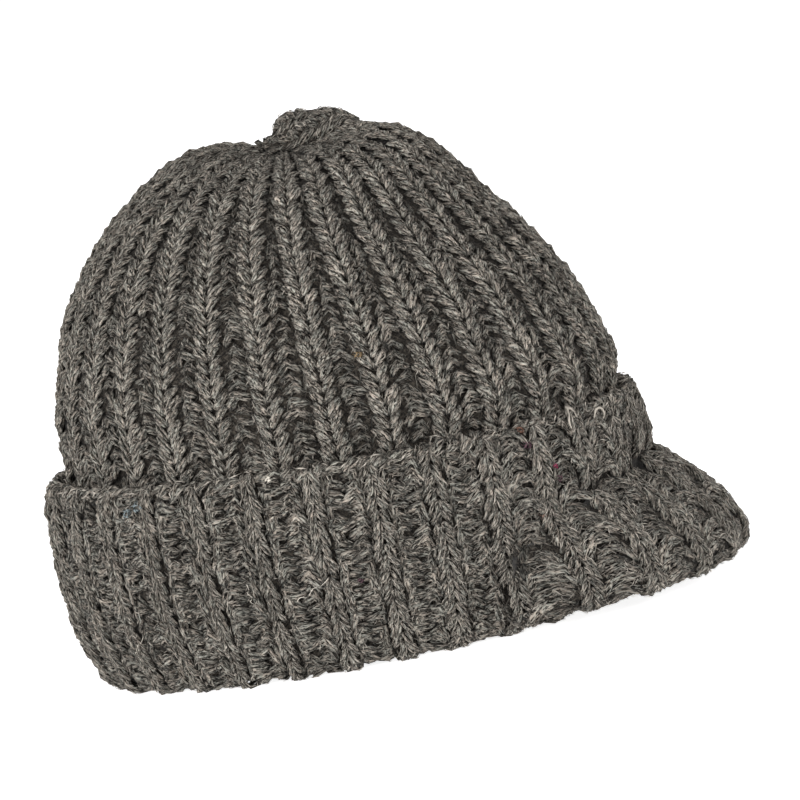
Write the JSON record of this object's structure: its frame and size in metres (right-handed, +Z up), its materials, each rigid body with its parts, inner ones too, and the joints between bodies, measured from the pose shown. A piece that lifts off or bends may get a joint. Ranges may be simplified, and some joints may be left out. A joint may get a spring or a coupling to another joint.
{
  "type": "brimmed beanie",
  "caption": "Chunky ribbed knit beanie with a turned-up cuff, a short padded knitted peak at the front and a gathered top.",
  "frame": {"origin": "on the rim plane that the hat stands on, under the middle of its box", "axes": "+X to the front, where the peak is; +Y to the hat's left side; +Z up, to the gathered top"},
  "size_m": [0.2474, 0.1926, 0.189],
  "materials": {
    "crown_knit": "heathered grey-brown wool rib knit, matt",
    "cuff_knit": "heathered grey-brown wool rib knit, matt",
    "peak_knit": "heathered grey-brown wool rib knit, matt",
    "gather_knit": "heathered grey-brown wool, rib ends bunched and twisted"
  },
  "bodies": {
    "root": {"crown": "crown_knit", "cuff": "cuff_knit", "peak": "peak_knit", "top_gather": "gather_knit"}
  },
  "joints": []
}
